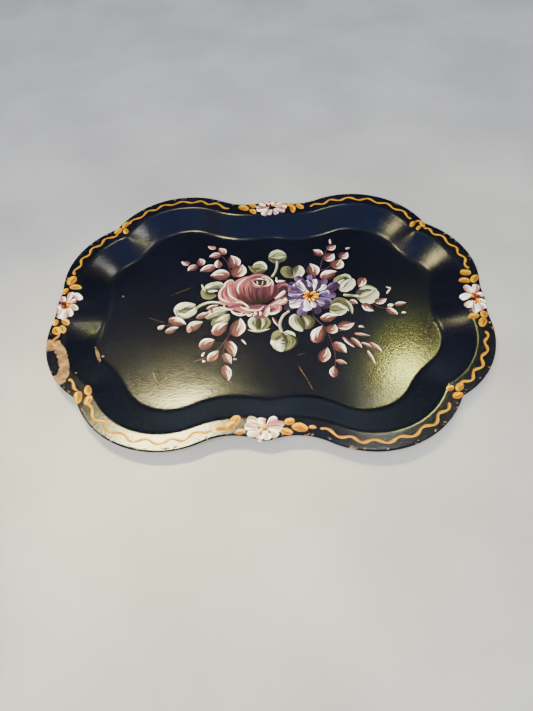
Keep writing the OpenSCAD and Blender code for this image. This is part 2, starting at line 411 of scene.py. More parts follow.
LACQUER = lacquer_material()
PAINTS = {name: paint_material(name, gloss) for name, gloss in PAINT_GLOSS.items()}

# ---- the pan

# Rings of points round the pan: on a bend, on the wall between two bends, and on the flange
BEND_STEPS = 8
WALL_STEPS = 8
FLANGE_STEPS = 8
# Rings on the floor, which shrink towards its middle
FLOOR_RINGS = 24
# Height of the waves that pressing leaves in the whole upper face, and of those in the wall
SHEET_WAVE = 0.05
WALL_WAVE = 0.07


def rounded(corner, before, after, reach):
    """A bend that leaves one direction and takes another, reach mm either side of the corner."""
    t = np.arange(BEND_STEPS + 1)[:, None] / BEND_STEPS
    return np.array(corner) + reach * (t**2 * np.array(after) - (1 - t) ** 2 * np.array(before))


def pan_section():
    """Points (inset, z) of the upper wall, flange, fold, its return and the under side of the wall."""
    slope_angle = math.atan2(RIM_H - SHEET_T, WALL_W)
    slope = (math.cos(slope_angle), -math.sin(slope_angle))
    level = (1, 0)
    shift = SHEET_T * math.tan(slope_angle / 2)

    def face(bend, foot):
        top = rounded(bend, level, slope, RIM_BEND)
        base = rounded(foot, slope, level, FLOOR_BEND)
        between = top[-1] + (base[0] - top[-1]) * np.linspace(0, 1, WALL_STEPS + 1)[1:-1, None]
        return np.concatenate([top, between, base])

    over = face((FLANGE_W, RIM_H), (FOOT, SHEET_T))
    flat_insets = np.linspace(HEM_T, FLANGE_W - RIM_BEND, FLANGE_STEPS + 1)[:-1]
    flat = np.stack([flat_insets, np.full(FLANGE_STEPS, RIM_H)], -1)
    angle = math.pi / 2 + math.pi * np.arange(BEND_STEPS + 1) / BEND_STEPS
    fold_centre = np.array([HEM_T / 2, RIM_H - HEM_T / 2])
    fold = fold_centre + HEM_T / 2 * np.stack([np.cos(angle), np.sin(angle)], -1)
    back = np.array(
        [
            [HEM_W - 0.5, RIM_H - HEM_T],
            [HEM_W, RIM_H - HEM_T + 0.25],
            [HEM_W + 0.3, RIM_H - SHEET_T],
        ]
    )
    under = face((FLANGE_W - shift, RIM_H - SHEET_T), (FOOT - shift, 0.0))
    return over, flat, fold, back, under


def add_pan():
    """The pan as rings of points, from the floor's middle over the edge to the under side's middle."""
    over, flat, fold, back, under = pan_section()
    section = np.concatenate([over[::-1], flat[::-1], fold, back, under])
    rings = [np.c_[inset_line(s), np.full(STATIONS, z)] for s, z in section]
    shrink = np.linspace(1, 0, FLOOR_RINGS + 2)[1:-1]
    floor_top = [np.c_[rings[0][:, :2] * k, rings[0][:, 2]] for k in shrink[::-1]]
    floor_base = [np.c_[rings[-1][:, :2] * k, rings[-1][:, 2]] for k in shrink]
    rings = floor_top + rings + floor_base
    points = np.concatenate(rings + [[[0, 0, SHEET_T]], [[0, 0, 0]]])
    top_hub, base_hub = len(points) - 2, len(points) - 1
    fold_start = (FLOOR_RINGS + len(over) + len(flat)) * STATIONS
    fold_end = fold_start + len(fold) * STATIONS
    number = np.arange(len(points))

    # The wall, and the slight waves that pressing leaves in the upper face
    heights = [SHEET_T + 0.4, SHEET_T + 2, RIM_H - 2, RIM_H - 0.4]
    wall = np.interp(points[:, 2], heights, [0, 1, 1, 0])
    tops = slice(0, fold_start)
    points[tops, 2] += SHEET_WAVE * soft_noise(points[tops], 60, 3) - SHEET_WAVE
    points[tops, 2] += WALL_WAVE * wall[tops] * soft_noise(points[tops], 30, 5)

    faces = []
    for k in range(len(rings) - 1):
        inner, outer = k * STATIONS, (k + 1) * STATIONS
        for i in range(STATIONS):
            j = (i + 1) % STATIONS
            faces.append((inner + j, inner + i, outer + i, outer + j))
    last = (len(rings) - 1) * STATIONS
    for i in range(STATIONS):
        j = (i + 1) % STATIONS
        faces.append((top_hub, i, j))
        faces.append((base_hub, last + j, last + i))
    pan = make_object("lacquered_pan", points, faces, LACQUER)
    store(pan, "wall", wall)
    store(pan, "edge", (number >= fold_start - STATIONS) & (number < fold_end))
    store(pan, "above", (number < fold_start) | (number == top_hub))
    store(pan, "worn", np.where(number < fold_end, worn_depth(points), -WORN_LIMIT))
    return pan


def store(thing, name, values):
    """Keeps one number for each point of a mesh, for its material to read."""
    layer = thing.data.attributes.new(name, "FLOAT", "POINT")
    layer.data.foreach_set("value", np.asarray(values, np.float32))


def inside_distance(points, shape):
    """Distance to a closed shape's outline, positive inside it."""
    a = np.asarray(shape, float)
    b = np.roll(a, -1, 0)
    run = b - a
    t = ((points[:, None] - a) * run).sum(-1) / (run**2).sum(-1)
    near = a + np.clip(t, 0, 1)[..., None] * run
    gap = np.linalg.norm(points[:, None] - near, axis=-1).min(1)
    x, y = points[:, 0][:, None], points[:, 1][:, None]
    rise = np.where(run[:, 1] == 0, 1e-9, run[:, 1])
    meets = run[:, 0] * (y - a[:, 1]) / rise + a[:, 0]
    crosses = ((a[:, 1] > y) != (b[:, 1] > y)) & (x < meets)
    return np.where(crosses.sum(1) % 2 == 1, gap, -gap)


# Where the lacquer is rubbed off the left end of the rim, and the island that is left in it
WORN_PATCH = [
    (-203, -41), (-188, -43), (-180, -52), (-174, -65), (-170.5, -77),
    (-172, -86), (-178, -92), (-184, -97), (-205, -70),
]
WORN_ISLAND = [
    (-200, -55), (-190, -53.5), (-185, -61), (-181, -71), (-180.5, -79), (-186, -83), (-200, -77),
]
WORN_LIMIT = 6
# Only points this near the flange's height are rubbed
WORN_DROP = 1.2


def worn_depth(points):
    """How far inside a worn spot each point lies, in mm, negative outside."""
    plan = points[:, :2]
    patch = inside_distance(plan, WORN_PATCH)
    island = inside_distance(plan, WORN_ISLAND)
    depth = np.clip(np.minimum(patch, -island), -WORN_LIMIT, WORN_LIMIT)
    return np.where(points[:, 2] > RIM_H - WORN_DROP, depth, -WORN_LIMIT)


pan = add_pan()
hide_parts("pan")
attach(pan, "root")

# ---- brush strokes

COLOURS = {
    "maroon": srgb("0e0409"),
    "wine": srgb("280a1a"),
    "rose": srgb("502836"),
    "pink": srgb("985458"),
    "cream": srgb("efefce"),
    "heart": srgb("030303"),
    "salmon_deep": srgb("2c141a"),
    "salmon": srgb("542e2e"),
    "salmon_pale": srgb("9d5c4d"),
    "shell": srgb("b09478"),
    "blush": srgb("efeee0"),
    "moss": srgb("131409"),
    "olive": srgb("2e2d20"),
    "sage": srgb("62613f"),
    "ivory": srgb("c4c6a8"),
    "plum": srgb("0d0516"),
    "violet": srgb("2a1234"),
    "lilac": srgb("584270"),
    "pearl": srgb("a297c0"),
    "white": srgb("efefef"),
    "yellow": srgb("e6a202"),
    "orange": srgb("8b2803"),
    "rust": srgb("1c0303"),
    "bronze": srgb("3e2402"),
    "gold": srgb("965e02"),
    "gilt": srgb("c99402"),
    "stem": srgb("200c15"),
    "taupe": srgb("3d2a30"),
}

ground = BVHTree.FromPolygons(
    [tuple(v.co / MM) for v in pan.data.vertices], [tuple(p.vertices) for p in pan.data.polygons]
)
# Where the rays that find the lacquer start, and how deep a film's sides reach into it
ABOVE = 40.0
DOWN = Vector((0, 0, -1))
EDGE_DIP = 0.12

# Height of the paint laid so far, kept on a grid over the pan, so strokes lie on each other
CELL = 0.4
laid = np.zeros((int(2 * HALF_L / CELL) + 4, int(2 * HALF_W / CELL) + 4))


def surface_height(x, y):
    hit = ground.ray_cast(Vector((x, y, ABOVE)), DOWN)
    return hit[0].z if hit[0] is not None else RIM_H - HEM_T


def cells(plan):
    """The grid cell that each plan point lies in, and how far across it the point lies."""
    at = plan / CELL + np.array([HALF_L, HALF_W]) / CELL + 1
    at = np.clip(at, 0, np.array(laid.shape) - 2)
    whole = at.astype(int)
    return whole[..., 0], whole[..., 1], at[..., 0] - whole[..., 0], at[..., 1] - whole[..., 1]


def laid_height(plan):
    i, j, f, g = cells(plan)
    near = laid[i, j] * (1 - f) + laid[i + 1, j] * f
    far = laid[i, j + 1] * (1 - f) + laid[i + 1, j + 1] * f
    return near * (1 - g) + far * g


def lay(plan, height):
    """Raises the four corners of each point's cell to the height that the paint has there."""
    i, j, _, _ = cells(plan)
    for di, dj in ((0, 0), (1, 0), (0, 1), (1, 1)):
        np.maximum.at(laid, (i + di, j + dj), height)


def swell(rise, fall):
    """Width along a stroke from 0 at its start to 1 at its widest and 0 again at its end."""
    peak = (rise / (rise + fall)) ** rise * (fall / (rise + fall)) ** fall
    return lambda t: t**rise * (1 - t) ** fall / peak


SHAPES = {
    "leaf": swell(0.8, 0.8),
    "bud": swell(0.5, 0.9),
    "petal": swell(0.8, 0.35),
    "comma": swell(0.35, 0.9),
    "oval": swell(0.5, 0.5),
    "line": swell(0.06, 0.06),
}


def smooth_path(points, count):
    """Catmull-Rom curve through the points, with closer steps near both ends."""
    p = np.asarray(points, float)
    p = np.concatenate([[2 * p[0] - p[1]], p, [2 * p[-1] - p[-2]]])
    t = (1 - np.cos(math.pi * np.arange(count + 1) / count)) / 2
    s = t * (len(p) - 3)
    k = np.minimum(s.astype(int), len(p) - 4)
    f = (s - k)[:, None]
    a, b, c, d = p[k], p[k + 1], p[k + 2], p[k + 3]
    bend = 2 * a - 5 * b + 4 * c - d
    twist = 3 * b - a - 3 * c + d
    return t, 0.5 * (2 * b + (c - a) * f + bend * f**2 + twist * f**3)


def bristles(rows, columns, knot_rows=5):
    """Streaks from -1 to 1 that run along a stroke: fine ones between broader ones."""
    fine = rng.normal(size=(knot_rows, columns))
    few = rng.normal(size=(knot_rows, columns // 4 + 2))
    spread = np.linspace(0, few.shape[1] - 1, columns)
    broad = np.stack([np.interp(spread, np.arange(few.shape[1]), row) for row in few])
    knots = 0.4 * fine + broad
    at = np.linspace(0, knot_rows - 1, rows)
    k = np.minimum(at.astype(int), knot_rows - 2)
    f = (at - k)[:, None]
    return np.clip((knots[k] * (1 - f) + knots[k + 1] * f) / 1.5, -1, 1)


def ease(x):
    """A smooth step from 0 to 1."""
    x = np.clip(x, 0, 1)
    return x * x * (3 - 2 * x)


def crown(v):
    """Height of a film across its width, from -1 to 1: level, with rounded sides."""
    return np.clip(1 - np.abs(v) ** 4, 0, 1)


def blend_colours(left, right, mix):
    return np.array(COLOURS[left]) * (1 - mix[..., None]) + np.array(COLOURS[right]) * mix[..., None]


# Distance between a stroke's rows of points, and between its columns
ROW_STEP = 0.5
COLUMN_STEP = 0.28
# Least part of its width that a stroke keeps at its ends
BLUNT = 0.04
# Part of the width over which one colour turns into the other, how much the streaks push one
# into the other, and how much they lighten and darken the paint
BLEND_SPAN = 1.3
STREAK_BLEND = 0.8
STREAK_TONE = 0.38
# Where along a stroke its tip's colour starts to show, and the part over which it takes over
TIP_START = 0.3
TIP_SPAN = 0.5
# Least thickness of a film of paint
FILM = 0.01


class Brushwork:
    """Collects strokes in millimetres and makes them one object."""

    def __init__(self):
        self.points = []
        self.colours = []
        self.faces = []
        self.count = 0

    def stroke(self, path, width, left, right, shape="leaf", lift=0.09, tip=None):
        """One pull of a brush that carries one colour on its left edge and another on its right."""
        length = np.linalg.norm(np.diff(np.asarray(path, float), axis=0), axis=1).sum()
        rows = int(np.clip(length / ROW_STEP, 10, 90))
        columns = int(np.clip(width / COLUMN_STEP, 5, 40))
        t, centre = smooth_path(path, rows)
        run = np.gradient(centre, axis=0)
        run /= np.linalg.norm(run, axis=1)[:, None] + 1e-9
        across = np.stack([-run[:, 1], run[:, 0]], -1)
        wavering = 1 + 0.05 * np.sin(t * 8 + rng.uniform(0, 6)) + 0.03 * np.sin(t * 23 + rng.uniform(0, 6))
        half = np.maximum(SHAPES[shape](t), BLUNT) * wavering * width / 2
        v = np.linspace(1, -1, columns + 1)
        plan = centre[:, None] + across[:, None] * half[:, None, None] * v[None, :, None]
        streak = bristles(rows + 1, columns + 1)
        shade = blend_colours(left, right, ease(0.5 - (v[None] + STREAK_BLEND * streak) / BLEND_SPAN))
        if tip is not None:
            reach = ease((t[:, None] + 0.25 * streak - TIP_START) / TIP_SPAN)[..., None]
            shade = shade * (1 - reach) + np.array(COLOURS[tip]) * reach
        shade = shade * (1 + STREAK_TONE * streak[..., None])
        ends = np.clip(np.minimum(t, 1 - t) * 12, 0, 1)
        self.film(plan, lift * (crown(v)[None] * ends[:, None]) * (0.7 + 0.3 * streak), shade)

    def strokes(self, rows, usual, middle):
        """Rows of width, then a shape unless it is the usual one and the colours, then a path."""
        for width, kind, *places in rows:
            words = kind.split()
            shape = words.pop(0) if words[0] in SHAPES else usual
            left, right, *tip = words
            path = [(middle[0] + x, middle[1] + y) for x, y in places]
            self.stroke(path, width, left, right, shape, tip=tip[0] if tip else None)

    def film(self, plan, height, shade):
        """A closed sheet of paint over a grid of plan points, on the paint already there."""
        rows, columns = plan.shape[:2]
        base = np.array([[surface_height(x, y) for x, y in row] for row in plan])
        thick = laid_height(plan) + height + FILM
        lay(plan, thick)
        top = np.concatenate([plan, (base + thick)[..., None]], -1)
        sides = top[:, [0, -1]].copy()
        sides[..., 2] = base[:, [0, -1]] - EDGE_DIP
        start = self.count
        skirt = start + rows * columns
        self.points += [top.reshape(-1, 3), sides.reshape(-1, 3)]
        self.colours += [shade.reshape(-1, 3), shade[:, [0, -1]].reshape(-1, 3)]
        self.count += rows * columns + rows * 2
        grid = start + np.arange(rows * columns).reshape(rows, columns)
        low_side = skirt + np.arange(rows * 2).reshape(rows, 2)
        a, b, c, d = grid[:-1, :-1], grid[:-1, 1:], grid[1:, 1:], grid[1:, :-1]
        self.faces += np.stack([a, d, c, b], -1).reshape(-1, 4).tolist()
        for i in range(rows - 1):
            self.faces.append((grid[i, 0], low_side[i, 0], low_side[i + 1, 0], grid[i + 1, 0]))
            self.faces.append((grid[i, -1], grid[i + 1, -1], low_side[i + 1, 1], low_side[i, 1]))
            self.faces.append((low_side[i, 0], low_side[i, 1], low_side[i + 1, 1], low_side[i + 1, 0]))
        self.faces.append((*grid[0].tolist(), low_side[0, 1], low_side[0, 0]))
        self.faces.append((*grid[-1][::-1].tolist(), low_side[-1, 0], low_side[-1, 1]))

    def finish(self, name, slot, node):
        made = make_object(name, np.concatenate(self.points), self.faces, PAINTS[slot])
        shades = np.concatenate(self.colours)
        layer = made.data.color_attributes.new("paint", "FLOAT_COLOR", "POINT")
        layer.data.foreach_set("color", np.c_[np.clip(shades, 0, 1), np.ones(len(shades))].ravel())
        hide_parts(node)
        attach(made, "root")


def turned(x, y, angle, *places):
    """Points given along and across an angle, placed about x, y."""
    c, s = math.cos(math.radians(angle)), math.sin(math.radians(angle))
    return [(x + a * c - b * s, y + a * s + b * c) for a, b in places]


# ---- leaves and stems

# Rows of width, shape unless it is the leaf, colours, and the path's points
LEAF_STROKES = [
    # left of the rose
    (9.5, "oval moss sage", (-65, 28), (-60, 19), (-51, 19)),
    (11, "oval ivory olive", (-63, 28), (-54, 31), (-45, 33)),
    (2.6, "ivory white", (-60, 24), (-50, 25)),
    (2.6, "sage ivory", (-67, 34), (-64, 28), (-62, 24)),
    # far left
    (21, "oval sage olive", (-90, -1), (-80, 0), (-69, 1)),
    (6, "ivory sage", (-86, -8), (-88, 2), (-82, 8), (-71, 8)),
    (7, "ivory olive", (-88, 1), (-80, 4), (-70, 7)),
    (7, "ivory sage", (-87, -3), (-79, -6), (-72, -2), (-69, 4)),
    (2.6, "white ivory", (-78, -2), (-73, -1), (-70, 4)),
    # above the left sprays
    (13, "oval sage olive", (-53, -18), (-45, -13), (-37, -6)),
    (12, "oval ivory olive", (-60, -9), (-50, -3), (-39, 1)),
    (7, "ivory sage", (-50, -14), (-43, -11), (-37, -5)),
    (4, "sage moss", (-58, -11), (-50, -8), (-41, -4)),
    # under the rose
    (21, "oval sage olive", (-9, -7), (-9, -26)),
    (8, "olive ivory", (-12, -7), (-15, -16), (-10, -26)),
    (7, "sage olive", (-4, -8), (-1, -16), (-6, -25)),
    (5, "moss olive", (-9, -9), (-9, -16), (-8, -24)),
    (2.6, "sage ivory", (-6, -9), (-4, -16), (-6, -22)),
    (2.2, "ivory sage", (-19, -24), (-9, -26), (2, -23)),
    # above the rose
    (15, "oval sage olive", (-19, 52), (-11, 53), (-3, 55)),
    (4, "olive sage", (-21, 58), (-17, 53), (-12, 47)),
    (9, "oval ivory sage", (-16, 56), (-9, 59), (-3, 52)),
    # top
    (17, "oval sage olive", (-1, 69), (8, 69), (18, 70)),
    (9, "ivory sage", (0, 69), (7, 75), (17, 73)),
    (3.4, "ivory moss", (2, 68), (9, 68), (17, 70)),
    # between rose and aster, above
    (14, "oval olive sage", (13, 48), (24, 47), (36, 49)),
    (11, "oval olive sage", (20, 56), (17, 49), (21, 41)),
    (12, "oval olive ivory", (26, 40), (29, 48), (30, 57)),
    (2.4, "moss olive", (22, 56), (23, 49), (24, 41)),
    # right of the aster, above
    (9, "oval sage olive", (67, 26), (68, 35), (75, 43)),
    (3.6, "ivory white", (67, 27), (70, 33), (77, 38)),
    (4, "ivory sage", (71, 42), (77, 42), (82, 37)),
    (14, "oval olive ivory", (69, 23), (76, 29), (83, 38)),
    (5, "ivory olive", (70, 24), (74, 31), (81, 38)),
    # far right
    (20, "oval olive sage", (85, 12), (95, 17), (105, 22)),
    (5, "sage ivory", (88, 24), (96, 27), (105, 23)),
    (12, "oval sage ivory", (87, 10), (97, 12), (105, 22)),
    (5, "olive ivory", (86, 14), (93, 18), (102, 23)),
    # right of the aster, below
    (13, "oval olive sage", (58, 1), (67, 3), (77, 0)),
    (6.5, "sage olive", (59, 5), (67, 11), (75, 6), (79, -6)),
    (4.5, "ivory olive", (59, 3), (66, 5), (72, 1), (76, -3)),
    (7, "olive ivory", (58, -2), (66, -5), (75, -1)),
    (3, "ivory sage", (74, 11), (78, 3), (79, -7)),
    # under the aster
    (11, "oval olive sage", (33, -8), (38, -15), (35, -24)),
    (11, "oval olive ivory", (26, -6), (25, -15), (32, -26)),
    (4, "moss olive", (29, -8), (32, -15), (34, -24)),
    (3, "sage ivory", (34, -10), (37, -15), (37, -20)),
    # bottom
    (21, "oval ivory olive", (13, -49), (14, -27)),
    (10, "oval sage olive", (5, -37), (9, -30), (15, -30)),
    (10, "oval ivory olive", (14, -29), (20, -31), (22, -38)),
    (9, "sage moss", (17, -48), (23, -38), (18, -29)),
    (3.4, "moss olive", (12, -27), (15, -32), (18, -40)),
    (1.3, "white sage", (5, -36), (10, -38), (16, -39)),
    (1.3, "white sage", (5, -40), (10, -42), (16, -42)),
    (1.3, "white sage", (7, -43), (11, -45), (16, -45)),
]

# Rows of width, colours of a line, and the path's points
LEAF_STEMS = [
    (2.4, "sage ivory", (8, 64), (8, 56), (6, 48), (3, 42)),
    (2.8, "ivory sage", (-70, 2), (-64, 7), (-56, 10), (-47, 9), (-43, 7)),
    (3.0, "ivory sage", (72, 17), (80, 16), (87, 15)),
    (2.6, "sage ivory", (20, -2), (14, -8), (11, -18), (13, -27)),
]

BUD_STEMS = [
    [(-49, 72), (-43, 63), (-40, 53), (-35, 42)],
    [(63, 88), (58, 76), (54, 66), (51, 52)],
    [(62, 56), (57, 52), (51, 50)],
    [(99, 6), (105, 1), (113, -1), (120, -5)],
    [(41, -7), (46, -14), (50, -19), (54, -25)],
    [(55, -30), (58, -40), (60, -52), (59, -68)],
    [(57, -22), (64, -26), (72, -26)],
    [(-35, -26), (-38, -36), (-40, -48), (-39, -60)],
    [(-37, -32), (-44, -44), (-53, -53), (-66, -59)],
    [(-50, -38), (-44, -39), (-42, -38)],
    [(-113, -8), (-105, -12), (-98, -14)],
    [(-97, -18), (-90, -18), (-87, -17)],
]


BUD_STEM_WIDTH = 1.2


def paint_rows(rows, usual, name, slot, node, middle=(0, 0)):
    work = Brushwork()
    work.strokes(rows, usual, middle)
    work.finish(name, slot, node)


def paint_bud_stems():
    work = Brushwork()
    for path in BUD_STEMS:
        work.stroke(path, BUD_STEM_WIDTH, "taupe", "stem", "line", lift=0.05)
    work.finish("bud_stem_strokes", "stem_paint", "bud_stems")


# ---- buds

# Buds: x, y, length, width, angle from the base to the tip, lit side (1 left, -1 right, 0 both)
SPRAYS = {
    "buds_back_left": [
        (-86, 63, 9, 6, 150, 1), (-78, 56, 11, 7.5, 225, -1), (-70, 64, 10, 8, 115, -1),
        (-62, 55, 16, 9, 207, -1), (-52, 61, 11, 7.5, 95, 1), (-49, 79, 11, 8, 130, -1),
        (-56, 73, 12, 7.5, 197, -1), (-60, 85, 9, 5, 155, 1), (-36, 64, 18, 12, 115, -1),
        (-30, 51, 17, 14, 75, -1), (-49, 46, 19, 13, 188, -1),
    ],
    "buds_back_right": [
        (63.5, 91, 7, 2.6, 95, 0), (64, 82, 10, 7.5, 35, -1), (50, 75, 12, 7.5, 145, -1),
        (61, 68, 13, 11, 45, -1), (76, 70, 11, 9, 50, -1), (81, 80, 5, 2.4, 20, 0),
        (69, 58, 14, 12, 65, -1), (44, 51, 17, 12, 110, -1), (59, 44, 18, 11, 25, 1),
        (8, 38, 8, 2.6, 100, 0), (12, 36, 9, 2.4, 5, 0),
    ],
    "buds_right": [
        (91, 33, 13, 8, 240, 1), (81, 8, 8, 5.5, -25, 1), (94, 1, 13, 7.5, -38, -1),
        (107, 9, 12, 7, 25, -1), (116, 3, 6, 4, 20, 0), (125, 5, 11, 5, 10, 1),
        (116, -4, 12, 6.5, -38, 1), (127, -6, 4, 2.4, 0, 0), (116, 21, 8, 1.8, 55, 0),
        (116, 26, 5, 1.6, 160, 0),
    ],
    "buds_front_right": [
        (57, -10, 17, 9, 12, 1), (46, -30, 20, 12, 65, 1), (59, -24, 11, 10, 60, -1),
        (72, -20, 16, 9, 20, -1), (86, -22, 5, 2.6, -10, 0), (86, -31, 14, 2.8, -13, 1),
        (73, -39, 15, 3.4, -50, -1), (80, -40, 14, 5, -52, 1), (90, -43, 13, 3.4, -28, 1),
        (97, -45, 14, 4.4, -48, 1), (92, -56, 15, 2.4, -68, 0), (65, -45, 15, 9, -48, 1),
        (51, -53, 16, 9.5, 72, -1), (65, -61, 10, 4.6, -22, 1), (58, -71, 11, 7, 85, 1),
    ],
    "buds_front_left": [
        (-86, -13, 18, 9.5, -22, 1), (-90, -23, 13, 6.5, 25, 1), (-69, -18, 16, 9.5, 28, 1),
        (-73, -22, 9, 5, 75, 1), (-100, -20, 7, 4.5, 35, 0), (-62, -6, 14, 6, 28, 1),
        (-54, 4, 12, 4.4, 22, 1), (-53, -1, 8, 3.6, -78, 1), (-45, -22, 18, 11.5, 42, 1),
        (-28, -21, 21, 13, 82, -1), (-56, -39, 15, 11, 28, 1), (-33, -45, 18, 9, -72, 1),
        (-49, -53, 14, 8, 50, 1), (-36, -56, 13, 7, -58, 1), (-36, -71, 16, 8.5, -76, 1),
        (7, -15, 13, 2.8, -62, -1), (-22, -38, 7, 1.6, -50, 0), (-58, -51, 5, 2, 70, 0),
        (-57, -59, 3, 2.4, 0, 0), (-29, -57, 3, 1.8, 0, 0),
    ],
}
# Narrower buds have no shadow and no highlight
SLENDER = 5.2


def paint_bud(work, x, y, length, width, angle, lit):
    """A bud: its body, a shadow down its middle, a pale lip on the lit side and a highlight."""
    half = length / 2

    def path(*places):
        """Points given in half lengths along the bud and in widths towards its lit side."""
        return turned(x, y, angle, *[(along * half, side * lit * width) for along, side in places])

    if lit == 0:
        bow = turned(x, y, angle, (-half, 0), (0, 0.1 * width), (half, 0))
        work.stroke(bow, width, "blush", "salmon_pale", "bud")
        return
    body = ("salmon_pale", "salmon_deep")[::lit]
    lip = ("blush", "salmon_pale")[::lit]
    work.stroke(path((-1, 0), (0, -0.10), (1, 0)), width, *body, "bud")
    if width > SLENDER:
        shadow = path((-0.85, -0.12), (0, -0.1), (0.8, 0))
        work.stroke(shadow, 0.5 * width, "salmon", "salmon", "bud")
    work.stroke(path((-0.85, 0.15), (0, 0.33), (1.05, 0)), 0.42 * width, *lip, "leaf")
    if width > SLENDER:
        light = path((-0.4, -0.05), (0.3, 0.08), (0.8, 0))
        work.stroke(light, 0.14 * width, "blush", "salmon_pale", "leaf", lift=0.05)


def paint_sprays():
    for name, buds in SPRAYS.items():
        work = Brushwork()
        for bud in buds:
            paint_bud(work, *bud)
        work.finish(name + "_strokes", "pink_paint", name)


# ---- the rose

# Rows of width, shape unless it is the leaf, colours, and the path's points
ROSE_PETALS = [
    # outer petals at the left
    (12, "oval pink rose", (-33, 13), (-38, 23), (-39, 32), (-34, 36)),
    (3, "comma cream pink", (-44, 29), (-42, 35), (-37, 38), (-33, 33)),
    (12, "oval pink wine", (-28, 9), (-38, 11), (-44, 20), (-41, 31)),
    (3, "pink cream", (-42, 32), (-47, 24), (-46, 15), (-36, 9)),
    (9, "pink rose", (-25, 10), (-33, 14), (-36, 22), (-37, 31)),
    (2.6, "pink cream", (-40, 31), (-39, 23), (-35, 16), (-28, 11)),
    # frill below the bowl
    (10, "oval wine rose", (-22, -1), (-13, -5), (-4, -5), (3, -1)),
    (3, "cream pink", (-14, -9), (-12, -5), (-12, -1)),
    (2.6, "cream pink", (-8, -8), (-7, -5), (-8, -1)),
    (9, "oval pink rose", (-38, 3), (-33, 6), (-27, 8), (-21, 5)),
    (2.6, "pink cream", (-42, 8), (-42, 3), (-37, 1), (-32, 2)),
    (10, "oval rose pink", (-34, 2), (-28, 3), (-21, 0), (-16, -3)),
    (2.8, "cream pink", (-20, -5), (-27, -6), (-33, -3), (-36, 1)),
    (10, "oval rose wine", (-26, 7), (-18, 4), (-8, 2), (0, 4)),
    (2.6, "cream pink", (-33, 9), (-27, 9), (-22, 6), (-19, 3)),
    (3, "comma pink cream", (-24, 2), (-17, 0), (-9, 0), (-4, 5)),
    (2.4, "cream rose", (-31, -4), (-26, -5), (-22, -2)),
    (2.4, "cream rose", (-22, -5), (-18, -7), (-14, -4)),
    (2.2, "pink cream", (-27, 4), (-23, 2), (-18, 3)),
    # petals at the lower right
    (9, "oval pink rose", (-1, 3), (5, 4), (9, 1), (3, -4)),
    (2.8, "cream pink", (10, 5), (9, -2), (3, -5), (0, -3)),
    (5, "petal cream pink", (1, 4), (-1, -1), (-3, -8)),
    # petals at the right
    (12, "oval rose wine", (4, 14), (10, 25), (15, 29), (19, 22)),
    (3, "pink rose", (9, 27), (14, 31), (19, 29), (19, 22)),
    (8, "rose wine", (2, 8), (9, 10), (15, 16), (17, 21)),
    (4.4, "petal cream pink", (6, 13), (10, 16), (16, 23)),
    (6.5, "rose pink", (1, 5), (8, 7), (15, 10), (18, 15)),
    (4, "petal pink cream", (8, 7), (13, 10), (18, 15)),
    (3, "petal cream pink", (2, 5), (7, 8), (13, 12)),
]

ROSE_BOWL = [
    # the bowl, pale at its top and dark towards its foot
    (37, "oval rose wine maroon", (-14, 44), (-14, 25), (-12, 6)),
    (9, "oval rose pink wine", (-19, 43), (-30, 34), (-29, 22), (-20, 10)),
    (9, "oval rose pink wine", (-17, 42), (-25, 32), (-24, 20), (-16, 8)),
    (9, "oval rose pink maroon", (-13, 40), (-19, 30), (-18, 18), (-13, 7)),
    (9, "oval wine rose maroon", (-10, 32), (-13, 24), (-12, 15), (-10, 7)),
    (9, "oval wine rose maroon", (-5, 31), (-6, 23), (-6, 15), (-7, 7)),
    (8, "oval wine rose maroon", (0, 33), (1, 24), (-1, 15), (-4, 8)),
    (6, "oval wine pink wine", (3, 36), (5, 28), (4, 19), (0, 11)),
    # small petals at its left shoulder
    (2.4, "pink cream", (-29, 20), (-31, 28), (-28, 36), (-21, 42)),
    (1.6, "rose pink", (-23, 25), (-24, 31), (-21, 38)),
    # rim of the opening
    (5, "pink rose", (-24, 38), (-15, 43.5), (-4, 42.5), (4, 34)),
    (2.4, "cream pink", (-8, 42), (-2, 41), (3, 36), (4, 30)),
    (8, "oval heart maroon", (-15, 36), (-9, 35), (-2, 34)),
    (4, "pink rose", (-19, 38), (-16, 32), (-9, 29), (-2, 30)),
    (1.6, "pink cream", (-16, 36), (-13, 32), (-8, 30)),
    (2.6, "cream pink", (-5, 29), (0, 31), (3, 36)),
    (2.2, "cream pink", (-4, 40), (-1, 36), (-2, 32)),
    (1.6, "cream rose", (-14, 39), (-9, 39.5), (-4, 38)),
    (1.3, "pink cream", (-12, 37), (-11, 34), (-12, 31)),
    (1.2, "pink cream", (-6, 37), (-6, 34), (-7, 31)),
]

# ---- the aster

# Rows of width, shape unless it is the petal, colours, and the path's points
VIOLET_PETALS = [
    (22, "oval plum violet", (29, 17), (40, 17), (52, 17)),
    (9, "plum violet", (50, 18), (59, 24), (68, 33)),
    (5, "leaf lilac violet", (55, 24), (61, 30), (67, 34)),
    (7, "violet lilac", (49, 25), (52, 31), (56, 38)),
    (9, "lilac violet", (43, 27), (42, 36), (42, 44)),
    (9, "lilac violet", (34, 28), (31, 36), (27, 42)),
    (9, "lilac violet", (33, 24), (26, 29), (19, 32)),
    (9, "violet plum", (32, 16), (24, 16), (17, 14)),
    (9, "violet plum", (32, 9), (23, 5), (15, 1)),
    (10, "violet lilac", (36, 6), (33, -1), (31, -8)),
    (10, "violet plum", (43, 7), (45, 1), (46, -6)),
    (8, "violet plum", (47, 10), (52, 5), (56, 0)),
    (8, "lilac plum", (48, 14), (54, 11), (60, 8)),
    (8, "violet lilac", (50, 18), (57, 18), (65, 16)),
]

